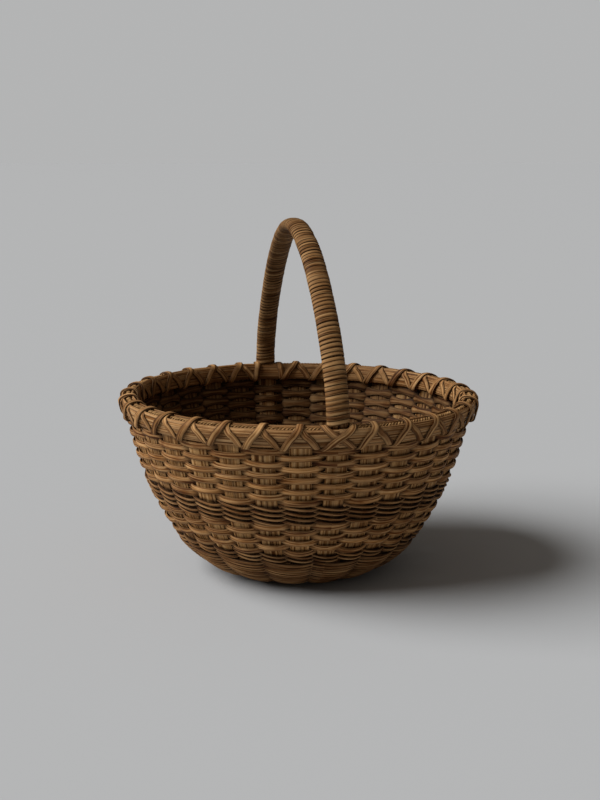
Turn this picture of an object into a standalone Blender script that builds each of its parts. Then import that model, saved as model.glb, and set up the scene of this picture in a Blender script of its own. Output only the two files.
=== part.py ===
"""A round reed basket: split spokes, woven and twined rows, lashed rims and a wrapped hoop handle."""

import math

import bmesh
import bpy
import numpy as np

# Bowl profile, followed by the middle of the stakes (metres)
FOOT_RADIUS = 0.048
CREST_RADIUS = 0.1486
CREST_HEIGHT = 0.180
FLARE_POWER = 1.512
FOOT_POWER = 2.233
RIM_MID_HEIGHT = 0.1436

# Spokes, each split at both ends into two stakes
STAKE_COUNT = 32
SPOKES_PER_LAYER = 4
STAKE_THICKNESS = 0.0012
STAKE_WIDTH_AT_FOOT = 0.0068
STAKE_WIDTH_AT_RIM = 0.0166
SPOKE_WIDTH_AT_CROSSING = 0.0070
SPOKE_SPREAD_RADIUS = 0.027
SLIT_SHARE = 0.125

# Flat-oval weavers, one closed row each
UPPER_WEAVER_WIDTH = 0.0045
LOWER_WEAVER_WIDTH = 0.0050
WEAVER_THICKNESS = 0.0016
UPPER_ROWS = 10
LOWER_ROWS = 6

# Round-reed strands, twined in pairs
TWINE_WIDTH = 0.0020
TWINE_THICKNESS = 0.0022
TWINE_ROWS = 4

# Closely twined base, as one layer on each side of the spokes
BASE_OUTER_THICKNESS = 0.0026
BASE_INNER_THICKNESS = 0.0022
RIDGES_PER_FACET = 3
BASE_RIDGE_DEPTH = 0.0010
BASE_FACETS = 3
FOOT_FACETS = 1
BASE_EYE_RADIUS = 0.030

# Rims, the filler between them and their lashing
RIM_HEIGHT = 0.0135
RIM_THICKNESS = 0.0036
FILLER_DIAMETER = 0.0036
LASH_WIDTH = 0.0052
LASH_THICKNESS = 0.0009
LASH_CLEARANCE = 0.0005
LASH_LEAN = 0.0016

# Hoop handle and its wrapping
HANDLE_WIDTH = 0.0150
HANDLE_THICKNESS = 0.0050
HANDLE_TOP = 0.2980
TAIL_THICKNESS = 0.0024
TAIL_LENGTH = 0.0400
SHOULDER_HEIGHT = 0.0035
WRAP_START = 0.0008
ARCH_LEG_REACH = 0.0570
ARCH_CROWN_REACH = 0.0570
ARCH_STEPS = 18
WRAP_LOOPS = 24
WRAP_THICKNESS = 0.0010
WRAP_GAP = 0.0009

# Gaps
CLEARANCE = 0.0003
STAKE_EDGE_ROOM = 0.0006
WRAP_CLEARANCE = 0.0005
HANDLE_SIDE_ROOM = 0.0010

# Sizes that follow
STAKE_PITCH = 2 * math.pi / STAKE_COUNT
SPOKE_PITCH = 2 * STAKE_PITCH
HANDLE_STAKES = (0, STAKE_COUNT // 2)
HALF_STAKE = STAKE_THICKNESS / 2
FLOOR_LEVEL = BASE_OUTER_THICKNESS + CLEARANCE + HALF_STAKE
UPPER_PITCH = UPPER_WEAVER_WIDTH + CLEARANCE
LOWER_PITCH = LOWER_WEAVER_WIDTH + CLEARANCE
TWINE_PITCH = 2 * (TWINE_WIDTH + CLEARANCE)
LASH_LAYER = LASH_CLEARANCE + LASH_THICKNESS
LASH_ROOM = 2 * LASH_LAYER + CLEARANCE
TAIL_MIDDLE = HALF_STAKE + CLEARANCE + TAIL_THICKNESS / 2
RIM_OUTER_FACE = HALF_STAKE + CLEARANCE + RIM_THICKNESS
RIM_INNER_START = HALF_STAKE + CLEARANCE + TAIL_THICKNESS + CLEARANCE
RIM_INNER_FACE = RIM_INNER_START + RIM_THICKNESS


def clear_scene():
    for obj in list(bpy.data.objects):
        bpy.data.objects.remove(obj, do_unlink=True)


def reed_material(name, colour, roughness):
    material = bpy.data.materials.new(name)
    material.use_nodes = True
    shader = material.node_tree.nodes["Principled BSDF"]
    shader.inputs["Base Color"].default_value = (*colour, 1.0)
    shader.inputs["Roughness"].default_value = roughness
    shader.inputs["Metallic"].default_value = 0.0
    return material


def bowl_radius(height):
    """Radius of the stakes' middle at a height: flat at the foot, flaring ever less up to the crest."""
    climb = (height - FLOOR_LEVEL) / (CREST_HEIGHT - FLOOR_LEVEL)
    swell = (1 - (1 - climb) ** FLARE_POWER) ** (1 / FOOT_POWER)
    return FOOT_RADIUS + (CREST_RADIUS - FOOT_RADIUS) * swell


class BowlLine:
    """The stakes' middle line in radius and height, measured along itself from the base's centre."""

    def __init__(self, samples=4000):
        climb = np.linspace(0, 1, samples) ** 3
        heights = FLOOR_LEVEL + (CREST_HEIGHT - FLOOR_LEVEL) * climb
        radii = bowl_radius(heights)
        steps = np.hypot(np.diff(radii), np.diff(heights))
        self.heights = heights
        self.radii = radii
        self.reach = FOOT_RADIUS + np.concatenate([[0], np.cumsum(steps)])

    def point(self, reach):
        if reach <= FOOT_RADIUS:
            return np.array([reach, FLOOR_LEVEL])
        radius = np.interp(reach, self.reach, self.radii)
        return np.array([radius, np.interp(reach, self.reach, self.heights)])

    def reach_at_height(self, height):
        return float(np.interp(height, self.heights, self.reach))


class Facet:
    """One straight stretch of the wall between two knots, with its own along and outward directions."""

    def __init__(self, start, end):
        self.start = start
        self.end = end
        self.length = float(np.linalg.norm(end - start))
        self.along = (end - start) / self.length
        self.out = np.array([self.along[1], -self.along[0]])

    def point(self, distance, out=0.0):
        return self.start + self.along * distance + self.out * out


LINE = BowlLine()
RIM_REACH = LINE.reach_at_height(RIM_MID_HEIGHT)
STAKE_TOP = RIM_REACH + RIM_HEIGHT / 2 - FILLER_DIAMETER / 2
UPPER_TOP = RIM_REACH - RIM_HEIGHT / 2 - LASH_ROOM
TWINE_TOP = UPPER_TOP - UPPER_ROWS * UPPER_PITCH - CLEARANCE
LOWER_TOP = TWINE_TOP - TWINE_ROWS * TWINE_PITCH - CLEARANCE
BASE_TOP = LOWER_TOP - LOWER_ROWS * LOWER_PITCH - CLEARANCE
BASE_KNOTS = list(np.linspace(FOOT_RADIUS, BASE_TOP, BASE_FACETS + 1))
KNOTS = [LINE.point(reach) for reach in BASE_KNOTS + [LOWER_TOP, TWINE_TOP, UPPER_TOP, STAKE_TOP]]
FACETS = [Facet(a, b) for a, b in zip(KNOTS[:-1], KNOTS[1:])]
LOWER_FACET, TWINE_FACET, UPPER_FACET, RIM_FACET = FACETS[BASE_FACETS:]
RIM_MIDDLE = STAKE_TOP - UPPER_TOP - (RIM_HEIGHT / 2 - FILLER_DIAMETER / 2)
RIM_TOP = RIM_MIDDLE + RIM_HEIGHT / 2 + CLEARANCE
CROSSING_REACH = SPOKES_PER_LAYER / 2 * (SPOKE_WIDTH_AT_CROSSING + CLEARANCE) + CLEARANCE


def stake_width(radius):
    rim_radius = KNOTS[-1][0]
    share = (radius - FOOT_RADIUS) / (rim_radius - FOOT_RADIUS)
    return STAKE_WIDTH_AT_FOOT + (STAKE_WIDTH_AT_RIM - STAKE_WIDTH_AT_FOOT) * share


def knot_point(index, out):
    """A knot moved outwards by the same distance from both of its facets."""
    before = FACETS[max(index - 1, 0)].out if index else np.array([0.0, -1.0])
    after = FACETS[min(index, len(FACETS) - 1)].out
    middle = before + after
    middle = middle / np.linalg.norm(middle)
    return KNOTS[index] + middle * out / float(middle @ after)


def place(angle, across, flat_point):
    """A point of the flat that faces one angle, moved across it."""
    radius, height = flat_point
    x = radius * math.cos(angle) - across * math.sin(angle)
    y = radius * math.sin(angle) + across * math.cos(angle)
    return (x, y, height)


def bridge(mesh, first, second):
    count = len(first)
    for i in range(count):
        j = (i + 1) % count
        mesh.faces.new((first[i], first[j], second[j], second[i]))


def finish(name, mesh, material, smooth=False):
    bmesh.ops.recalc_face_normals(mesh, faces=mesh.faces)
    data = bpy.data.meshes.new(name)
    mesh.to_mesh(data)
    mesh.free()
    data.materials.append(material)
    if smooth:
        data.shade_smooth()
        data.set_sharp_from_angle(angle=math.radians(40))
    obj = bpy.data.objects.new(name, data)
    bpy.context.scene.collection.objects.link(obj)
    return obj


def loft(name, sections, material, closed, smooth=False):
    """One solid through a row of outlines: a ring if closed, otherwise with its two ends capped."""
    mesh = bmesh.new()
    loops = [[mesh.verts.new(point) for point in section] for section in sections]
    for first, second in zip(loops[:-1], loops[1:]):
        bridge(mesh, first, second)
    if closed:
        bridge(mesh, loops[-1], loops[0])
    else:
        mesh.faces.new(loops[0])
        mesh.faces.new(loops[-1])
    return finish(name, mesh, material, smooth)


def flat_face_out(width, thickness):
    """Outline of a reed with its flat face outwards, as steps outwards and along the wall."""
    return [(thickness / 2, width / 2), (thickness / 2, -width / 2), (-thickness / 2, 0.0)]


def band(width, inner, outer):
    return [(outer, width / 2), (outer, -width / 2), (inner, -width / 2), (inner, width / 2)]


def round_outline(diameter, middle_out, middle_along, sides=5):
    turns = [2 * math.pi * i / sides for i in range(sides)]
    radius = diameter / 2
    return [(middle_out + radius * math.cos(a), middle_along + radius * math.sin(a)) for a in turns]


def row_section(facet, distance, stake, end, out, along, outline):
    """A reed's outline beside one edge of one stake."""
    radius = facet.point(distance)[0]
    across = end * (stake_width(radius) / 2 + STAKE_EDGE_ROOM)
    angle = stake * STAKE_PITCH
    return [place(angle, across, facet.point(distance + along + da, out + do)) for do, da in outline]


def spoke_section(turn, centre, sideways, height, half_width, half_slit):
    """Eight points round a spoke lying flat on the base: four on its inner face, four on its outer one."""
    steps = (-half_width, -half_slit, half_slit, half_width)
    points = [centre + sideways * step for step in steps]
    cos, sin = math.cos(turn), math.sin(turn)
    plan = [(p[0] * cos - p[1] * sin, p[0] * sin + p[1] * cos) for p in points]
    inner = [(x, y, height + HALF_STAKE) for x, y in plan]
    outer = [(x, y, height - HALF_STAKE) for x, y in plan]
    return inner + outer[::-1]


def stake_section(angle, knot):
    half = stake_width(KNOTS[knot][0]) / 2
    inner = knot_point(knot, -HALF_STAKE)
    outer = knot_point(knot, HALF_STAKE)
    corners = ((-half, inner), (half, inner), (half, outer), (-half, outer))
    return [place(angle, side, face) for side, face in corners]


def make_spoke(name, layer, index, material):
    """A spoke crosses the base flat, spreads to its own direction and splits into two stakes at each end."""
    turn = STAKE_PITCH / 2 + layer * math.pi / 2
    step = index - (SPOKES_PER_LAYER - 1) / 2
    spread = step * SPOKE_PITCH
    shelf = FLOOR_LEVEL + (layer - 0.5) * (STAKE_THICKNESS + CLEARANCE)
    half_width = SPOKE_WIDTH_AT_CROSSING / 2
    half_slit = SLIT_SHARE * half_width
    side_step = step * (SPOKE_WIDTH_AT_CROSSING + CLEARANCE)
    mesh = bmesh.new()
    body = []
    for way in (-1, 1):
        crossing = np.array([way * CROSSING_REACH, side_step])
        spread_point = SPOKE_SPREAD_RADIUS * np.array([way * math.cos(spread), math.sin(spread)])
        spread_side = np.array([-way * math.sin(spread), math.cos(spread)])
        pair = [
            spoke_section(turn, crossing, np.array([0.0, 1.0]), shelf, half_width, half_slit),
            spoke_section(turn, spread_point, spread_side, FLOOR_LEVEL, half_width, half_slit),
        ]
        direction = spread if way > 0 else math.pi - spread
        right = stake_section(turn + direction - way * STAKE_PITCH / 2, 0)
        left = stake_section(turn + direction + way * STAKE_PITCH / 2, 0)
        order = (0, 1) if way > 0 else (1, 0)
        inner = [right[order[0]], right[order[1]], left[order[0]], left[order[1]]]
        outer = [right[3 - order[0]], right[3 - order[1]], left[3 - order[0]], left[3 - order[1]]]
        pair.append(inner + outer[::-1])
        body.append(pair)
    sections = body[0][::-1] + body[1]
    loops = [[mesh.verts.new(point) for point in section] for section in sections]
    for first, second in zip(loops[:-1], loops[1:]):
        bridge(mesh, first, second)
    for way, loop in ((-1, loops[0]), (1, loops[-1])):
        direction = spread if way > 0 else math.pi - spread
        mesh.faces.new((loop[1], loop[2], loop[5], loop[6]))
        for side, corners in ((-1, (0, 1, 6, 7)), (1, (2, 3, 4, 5))):
            angle = turn + direction + way * side * STAKE_PITCH / 2
            last = [loop[i] for i in corners]
            if way < 0:
                last = [last[1], last[0], last[3], last[2]]
            for knot in range(1, len(KNOTS)):
                following = [mesh.verts.new(point) for point in stake_section(angle, knot)]
                bridge(mesh, last, following)
                last = following
            mesh.faces.new(last)
    return finish(name, mesh, material)


def make_weaver(name, facet, distance, width, phase, material):
    """A flat weaver goes outside every other stake, and inside the handle's tail on its stake."""
    outline = flat_face_out(width, WEAVER_THICKNESS)
    plain = HALF_STAKE + CLEARANCE + WEAVER_THICKNESS / 2
    sections = []
    for stake in range(STAKE_COUNT):
        outside = (stake + phase) % 2 == 0
        out = plain if outside else -plain
        if facet is UPPER_FACET and stake in HANDLE_STAKES and not outside:
            out -= TAIL_THICKNESS + CLEARANCE
        for end in (-1, 1):
            sections.append(row_section(facet, distance, stake, end, out, 0.0, outline))
    return loft(name, sections, material, closed=True)


def make_twine(name, facet, distance, phase, material):
    """A twined strand slants down outside one stake and up inside the next, its partner above it."""
    outline = flat_face_out(TWINE_WIDTH, TWINE_THICKNESS)
    plain = HALF_STAKE + CLEARANCE + TWINE_THICKNESS / 2
    slant = (TWINE_WIDTH + CLEARANCE) / 2
    sections = []
    for stake in range(STAKE_COUNT):
        side = 1 if (stake + phase) % 2 == 0 else -1
        for end in (-1, 1):
            slide = -side * end * slant
            sections.append(row_section(facet, distance, stake, end, side * plain, slide, outline))
    return loft(name, sections, material, closed=True)


def turned_ring(name, outline, material):
    """A ring of flats, one facing each stake."""
    widen = 1 / math.cos(STAKE_PITCH / 2)
    sections = []
    for stake in range(STAKE_COUNT):
        angle = (stake + 0.5) * STAKE_PITCH
        sections.append([place(angle, 0.0, (radius * widen, height)) for radius, height in outline])
    return loft(name, sections, material, closed=True)


def base_points(out, first, last):
    """The base's line moved outwards, from one knot to another; the foot's also starts at the open eye."""
    points = [knot_point(index, out) for index in range(first, last + 1)]
    if first:
        points[0] = points[0] + FACETS[first].along * CLEARANCE
        return points
    return [np.array([BASE_EYE_RADIUS, FLOOR_LEVEL - out])] + points


def make_outer_twining(name, first, last, material):
    """Twining under the spokes: flat where the basket stands, ridged row by row up its rounded side."""
    near = HALF_STAKE + CLEARANCE
    far_points = base_points(near + BASE_OUTER_THICKNESS, first, last)
    flat_steps = len(far_points) - 1 - (last - first)
    surface = far_points[:flat_steps]
    for facet, start, end in zip(FACETS[first:last], far_points[flat_steps:-1], far_points[flat_steps + 1 :]):
        for ridge in range(RIDGES_PER_FACET):
            surface.append(start + (end - start) * ridge / RIDGES_PER_FACET)
            groove = start + (end - start) * (ridge + 0.5) / RIDGES_PER_FACET
            surface.append(groove - facet.out * BASE_RIDGE_DEPTH)
    surface.append(far_points[-1])
    return turned_ring(name, base_points(near, first, last)[::-1] + surface, material)


def make_inner_twining(name, first, last, material):
    near = -(HALF_STAKE + CLEARANCE)
    far = near - BASE_INNER_THICKNESS
    return turned_ring(name, base_points(near, first, last)[::-1] + base_points(far, first, last), material)


def make_rim(name, inner, outer, material):
    outline = band(RIM_HEIGHT, inner, outer)
    sections = []
    for stake in range(STAKE_COUNT):
        for end in (-1, 1):
            sections.append(row_section(RIM_FACET, RIM_MIDDLE, stake, end, 0.0, 0.0, outline))
    return loft(name, sections, material, closed=True)


def make_filler(name, first_stake, material):
    """Half of the cord on the stakes' ends, from one leg of the handle to the other."""
    middle_out = (HALF_STAKE + CLEARANCE - RIM_INNER_START) / 2
    middle_along = RIM_HEIGHT / 2 + CLEARANCE
    outline = round_outline(FILLER_DIAMETER, middle_out, middle_along)
    last_stake = first_stake + STAKE_COUNT // 2
    leg_side = HANDLE_WIDTH / 2 + HANDLE_SIDE_ROOM
    flat = [RIM_FACET.point(RIM_MIDDLE + da, do) for do, da in outline]
    sections = [[place(first_stake * STAKE_PITCH, leg_side, point) for point in flat]]
    for stake in range(first_stake + 1, last_stake):
        for end in (-1, 1):
            sections.append(row_section(RIM_FACET, RIM_MIDDLE, stake, end, 0.0, 0.0, outline))
    sections.append([place(last_stake * STAKE_PITCH, -leg_side, point) for point in flat])
    return loft(name, sections, material, closed=False, smooth=True)


def make_lashing(name, way, layer, material):
    """A strand wound round both rims: up outside to a stake, over the filler, down inside to the next gap."""
    lift = LASH_CLEARANCE + layer * LASH_LAYER
    flat_rise = (stake_width(KNOTS[-1][0]) / 2 + STAKE_EDGE_ROOM) ** 2 / (2 * KNOTS[-1][0])
    top = RIM_HEIGHT / 2 + CLEARANCE + FILLER_DIAMETER / 2 + lift
    bottom = -RIM_HEIGHT / 2 - lift
    outer = RIM_OUTER_FACE + flat_rise + lift
    inner = -RIM_INNER_FACE - lift
    corners = ((outer, bottom, 1, -1), (outer, top, 1, 1), (inner, top, -1, 1), (inner, bottom, -1, -1))
    leg_room = HANDLE_WIDTH / 2 + HANDLE_SIDE_ROOM + LASH_WIDTH / 2 + LASH_LEAN
    sections = []
    for count in range(STAKE_COUNT):
        stake = count if way > 0 else STAKE_COUNT - count
        stake_angle = stake * STAKE_PITCH
        step_past = leg_room if stake % STAKE_COUNT in HANDLE_STAKES else 0.0
        gap_before = stake_angle - way * STAKE_PITCH / 2
        gap_after = stake_angle + way * STAKE_PITCH / 2
        apex = stake_angle + way * step_past / KNOTS[-1][0]
        lean = way * LASH_LEAN / KNOTS[-1][0]
        angles = (gap_before + lean, apex - lean, apex + lean, gap_after - lean)
        for angle, (out, along, out_way, along_way) in zip(angles, corners):
            near = RIM_FACET.point(RIM_MIDDLE + along, out)
            far_along = RIM_MIDDLE + along + along_way * LASH_THICKNESS
            far = RIM_FACET.point(far_along, out + out_way * LASH_THICKNESS)
            half = LASH_WIDTH / 2
            points = ((-half, near), (half, near), (half, far), (-half, far))
            sections.append([place(angle, across, point) for across, point in points])
    return loft(name, sections, material, closed=False)


class Arch:
    """The handle's middle line in the X-Z plane, from one shoulder over the crown to the other."""

    def __init__(self, samples=400):
        shoulder = RIM_FACET.point(RIM_TOP + SHOULDER_HEIGHT, -TAIL_MIDDLE)
        crown = HANDLE_TOP - WRAP_THICKNESS - WRAP_CLEARANCE - HANDLE_THICKNESS / 2
        corners = (
            shoulder,
            shoulder + np.array([0.0, ARCH_LEG_REACH]),
            np.array([ARCH_CROWN_REACH, crown]),
            np.array([0.0, crown]),
        )
        t = np.linspace(0, 1, samples)[:, None]
        weights = ((1 - t) ** 3, 3 * t * (1 - t) ** 2, 3 * t**2 * (1 - t), t**3)
        half = sum(weight * corner for weight, corner in zip(weights, corners))
        mirrored = half[-2::-1] * np.array([-1.0, 1.0])
        self.line = np.concatenate([half, mirrored])
        steps = np.linalg.norm(np.diff(self.line, axis=0), axis=1)
        self.reach = np.concatenate([[0], np.cumsum(steps)])
        self.length = float(self.reach[-1])

    def point(self, reach, out=0.0):
        """A point of the line, moved away from the basket's middle by out."""
        step = self.length / len(self.reach)
        along = self.at(reach + step) - self.at(reach - step)
        along /= np.linalg.norm(along)
        return self.at(reach) + np.array([along[1], -along[0]]) * out

    def at(self, reach):
        return np.array([np.interp(reach, self.reach, self.line[:, axis]) for axis in (0, 1)])


ARCH = Arch()


def handle_section(inner, outer):
    half = HANDLE_WIDTH / 2
    return [
        (inner[0], -half, inner[1]),
        (inner[0], half, inner[1]),
        (outer[0], half, outer[1]),
        (outer[0], -half, outer[1]),
    ]


def make_handle(material):
    """A hoop thinned below the shoulder, so that its tails slide down between stake and inner rim."""
    near = -(HALF_STAKE + CLEARANCE)
    far = near - TAIL_THICKNESS
    tail_end = UPPER_FACET.length - TAIL_LENGTH
    upper_knot = len(KNOTS) - 2
    tail = [
        (UPPER_FACET.point(tail_end, far), UPPER_FACET.point(tail_end, near)),
        (knot_point(upper_knot, far), knot_point(upper_knot, near)),
        (RIM_FACET.point(RIM_TOP, far), RIM_FACET.point(RIM_TOP, near)),
    ]
    half = HANDLE_THICKNESS / 2
    steps = [ARCH.length * i / (2 * ARCH_STEPS) for i in range(2 * ARCH_STEPS + 1)]
    arch = [(ARCH.point(reach, -half), ARCH.point(reach, half)) for reach in steps]
    other = [(inner * (-1, 1), outer * (-1, 1)) for inner, outer in tail[::-1]]
    sections = [handle_section(inner, outer) for inner, outer in tail + arch + other]
    return loft("handle_hoop", sections, material, closed=False)


def make_wrap(material):
    """One cane strip wound round the hoop from shoulder to shoulder, four corners to a loop."""
    start = WRAP_START
    pitch = (ARCH.length - 2 * start) / (WRAP_LOOPS + 1)
    half_strip = (pitch - WRAP_GAP) / 2
    corners = ((1, 1), (1, -1), (-1, -1), (-1, 1))
    near_out = HANDLE_THICKNESS / 2 + WRAP_CLEARANCE
    near_side = HANDLE_WIDTH / 2 + WRAP_CLEARANCE
    sections = []
    for count in range(len(corners) * WRAP_LOOPS + 1):
        out_way, side_way = corners[count % len(corners)]
        middle = start + half_strip + pitch * count / len(corners)
        edges = (middle - half_strip, middle, middle + half_strip)
        near = [(ARCH.point(reach, out_way * near_out), side_way * near_side) for reach in edges]
        far_out = near_out + WRAP_THICKNESS
        far_side = near_side + WRAP_THICKNESS
        far = [(ARCH.point(reach, out_way * far_out), side_way * far_side) for reach in edges]
        sections.append([(point[0], side, point[1]) for point, side in near + far[::-1]])
    print_wrap_gap(np.array(sections), len(corners))
    return loft("handle_wrap", sections, material, closed=False)


def print_wrap_gap(sections, corners, parts=12):
    """Least distance between one loop's leading edge and the next one's trailing edge."""
    share = np.linspace(0, 1, parts, endpoint=False)[:, None]
    leading = [sections[:, i] for i in (2, 3)]
    trailing = [sections[:, i] for i in (0, 5)]
    fine = [
        [np.concatenate([a + (b - a) * share for a, b in zip(edge[:-1], edge[1:])]) for edge in group]
        for group in (leading, trailing)
    ]
    turn = corners * parts
    least = math.inf
    for first in fine[0]:
        for second in fine[1]:
            for i in range(len(first) - turn):
                near = second[max(i + turn - parts, 0) : i + turn + parts]
                least = min(least, float(np.linalg.norm(near - first[i], axis=1).min()))
    print(f"handle_wrap: least gap to itself {least * 1000:.2f} mm over {WRAP_LOOPS} loops")


def build():
    clear_scene()
    stake_reed = reed_material("stake_reed", (0.20, 0.115, 0.055), 0.62)
    weaver_reed = reed_material("weaver_reed", (0.24, 0.145, 0.070), 0.58)
    round_reed = reed_material("round_reed", (0.15, 0.080, 0.035), 0.60)
    rim_reed = reed_material("rim_reed", (0.23, 0.130, 0.062), 0.55)
    filler_grass = reed_material("filler_grass", (0.17, 0.110, 0.050), 0.80)
    lashing_cane = reed_material("lashing_cane", (0.25, 0.150, 0.075), 0.52)
    handle_wood = reed_material("handle_wood", (0.13, 0.065, 0.030), 0.55)
    wrap_cane = reed_material("wrap_cane", (0.27, 0.165, 0.085), 0.50)

    pieces = []
    for layer in (0, 1):
        for index in range(SPOKES_PER_LAYER):
            number = layer * SPOKES_PER_LAYER + index + 1
            pieces.append(make_spoke(f"spoke_{number}", layer, index, stake_reed))
    for row in range(UPPER_ROWS):
        name = f"upper_weaver_{row + 1}"
        distance = UPPER_FACET.length - (row + 0.5) * UPPER_PITCH
        pieces.append(make_weaver(name, UPPER_FACET, distance, UPPER_WEAVER_WIDTH, row, weaver_reed))
    for row in range(TWINE_ROWS):
        distance = TWINE_FACET.length - CLEARANCE / 2 - (row + 0.5) * TWINE_PITCH
        for phase, strand in enumerate("ab"):
            pieces.append(make_twine(f"twine_{row + 1}{strand}", TWINE_FACET, distance, phase, round_reed))
    for row in range(LOWER_ROWS):
        name = f"lower_weaver_{row + 1}"
        distance = LOWER_FACET.length - CLEARANCE / 2 - (row + 0.5) * LOWER_PITCH
        pieces.append(make_weaver(name, LOWER_FACET, distance, LOWER_WEAVER_WIDTH, row, weaver_reed))
    for stretch, first, last in (("foot", 0, FOOT_FACETS), ("side", FOOT_FACETS, BASE_FACETS)):
        pieces.append(make_outer_twining(f"{stretch}_twining_outer", first, last, round_reed))
        pieces.append(make_inner_twining(f"{stretch}_twining_inner", first, last, round_reed))
    pieces.append(make_rim("rim_outer", HALF_STAKE + CLEARANCE, RIM_OUTER_FACE, rim_reed))
    pieces.append(make_rim("rim_inner", -RIM_INNER_FACE, -RIM_INNER_START, rim_reed))
    pieces.append(make_filler("rim_filler_1", 0, filler_grass))
    pieces.append(make_filler("rim_filler_2", STAKE_COUNT // 2, filler_grass))
    pieces.append(make_lashing("lashing_first", -1, 0, lashing_cane))
    pieces.append(make_lashing("lashing_second", 1, 1, lashing_cane))
    pieces.append(make_handle(handle_wood))
    pieces.append(make_wrap(wrap_cane))

    basket = bpy.data.objects.new("basket", None)
    bpy.context.scene.collection.objects.link(basket)
    for piece in pieces:
        piece.parent = basket


build()
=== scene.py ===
import math
import bpy
import numpy as np
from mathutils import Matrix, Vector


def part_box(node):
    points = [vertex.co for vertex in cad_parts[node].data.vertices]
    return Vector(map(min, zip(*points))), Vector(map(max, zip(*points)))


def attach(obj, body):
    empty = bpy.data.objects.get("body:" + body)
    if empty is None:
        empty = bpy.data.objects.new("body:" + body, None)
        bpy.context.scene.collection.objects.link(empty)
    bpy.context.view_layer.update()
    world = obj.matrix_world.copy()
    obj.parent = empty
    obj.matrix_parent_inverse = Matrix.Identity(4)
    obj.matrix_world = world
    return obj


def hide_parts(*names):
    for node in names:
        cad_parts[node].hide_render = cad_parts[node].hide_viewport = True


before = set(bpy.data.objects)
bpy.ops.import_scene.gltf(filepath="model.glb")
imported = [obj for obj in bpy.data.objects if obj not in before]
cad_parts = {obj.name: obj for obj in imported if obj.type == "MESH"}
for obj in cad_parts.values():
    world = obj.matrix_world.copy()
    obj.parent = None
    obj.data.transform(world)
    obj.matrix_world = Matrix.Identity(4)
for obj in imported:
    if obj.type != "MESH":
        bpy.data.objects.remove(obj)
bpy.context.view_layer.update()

mm = 0.001
seed = 32
rng = np.random.default_rng(seed)
print("frame loaded:", len(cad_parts), "nodes")

# the bowl's line: middle of the stakes, flat at the foot and flaring up to the rim
bowl = {
    "footRadius": 48.0 * mm,
    "crestRadius": 148.6 * mm,
    "crestHeight": 180.0 * mm,
    "floorLevel": 3.5 * mm,
    "flarePower": 1.512,
    "footPower": 2.233,
    "rimHeight": 143.6 * mm,
    "stakes": 32,
    "stakeHalf": 0.6 * mm,
    "stakeAboveRim": 5.0 * mm,
    "lineSamples": 4000,
    "lineCrowding": 3,  # more samples at the foot, where the line bends most
    "slopeStep": 0.5 * mm,
}
stakePitch = 2 * math.pi / bowl["stakes"]
spokePitch = 2 * stakePitch
handleStakes = (0, bowl["stakes"] // 2)


def bowlRadius(height):
    climb = (height - bowl["floorLevel"]) / (bowl["crestHeight"] - bowl["floorLevel"])
    swell = (1 - (1 - climb) ** bowl["flarePower"]) ** (1 / bowl["footPower"])
    return bowl["footRadius"] + (bowl["crestRadius"] - bowl["footRadius"]) * swell


lineShares = np.linspace(0, 1, bowl["lineSamples"]) ** bowl["lineCrowding"]
lineHeights = bowl["floorLevel"] + (bowl["crestHeight"] - bowl["floorLevel"]) * lineShares
lineRadii = bowlRadius(lineHeights)
lineSteps = np.hypot(np.diff(lineRadii), np.diff(lineHeights))
lineReach = bowl["footRadius"] + np.concatenate([[0], np.cumsum(lineSteps)])


def wallSpot(reach):
    # radius and height of the wall, with the reach measured along it from the base's centre
    onBase = reach <= bowl["footRadius"]
    radius = np.where(onBase, reach, np.interp(reach, lineReach, lineRadii))
    height = np.where(onBase, bowl["floorLevel"], np.interp(reach, lineReach, lineHeights))
    return radius, height


def wallAt(reach):
    # radius and height, and how much of a step up along the wall goes to each
    reach = np.asarray(reach, float)
    radius, height = wallSpot(reach)
    ahead = wallSpot(reach + bowl["slopeStep"])
    behind = wallSpot(reach - bowl["slopeStep"])
    alongR = ahead[0] - behind[0]
    alongZ = ahead[1] - behind[1]
    size = np.hypot(alongR, alongZ)
    return radius, height, alongR / size, alongZ / size


def onWall(reach, angle, out, along=0.0):
    # points on the wall, with the directions outwards and up along it
    radius, height, alongR, alongZ = wallAt(reach + along + 0 * angle)
    cos, sin = np.cos(angle), np.sin(angle)
    outR, outZ = alongZ, -alongR
    rho = radius + outR * out
    point = np.stack([rho * cos, rho * sin, height + outZ * out], -1)
    outward = np.stack([outR * cos, outR * sin, outZ], -1)
    upward = np.stack([alongR * cos, alongR * sin, alongZ], -1)
    return point, outward, upward


def reachOf(node):
    # where a row of the frame lies along the wall
    low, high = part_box(node)
    return float(np.interp((low.z + high.z) / 2, lineHeights, lineReach))


rimReach = float(np.interp(bowl["rimHeight"], lineHeights, lineReach))
stakeTopReach = rimReach + bowl["stakeAboveRim"]
# the hand-made rim leans out on one side and sits a little lower there
sway = {"towards": math.radians(78.0), "lean": 1.7 * mm, "drop": 0.5 * mm, "rise": 1.4 * mm}


def rimSway(angle):
    turned = np.cos(angle - sway["towards"])
    lean = sway["lean"] * np.clip(turned, 0, 1) ** 2
    tilt = -turned * np.where(turned > 0, sway["drop"], sway["rise"])
    return lean, tilt


def unit(vectors):
    return vectors / np.linalg.norm(vectors, axis=1)[:, None]


def runAlong(points):
    # length along a line of points, up to each of them
    return np.concatenate([[0], np.cumsum(np.linalg.norm(np.diff(points, axis=0), axis=1))])


def signedPower(values, power):
    # keeps the sign, and turns a circle's steps into those of a rounded square
    return np.sign(values) * np.abs(values) ** power


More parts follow.
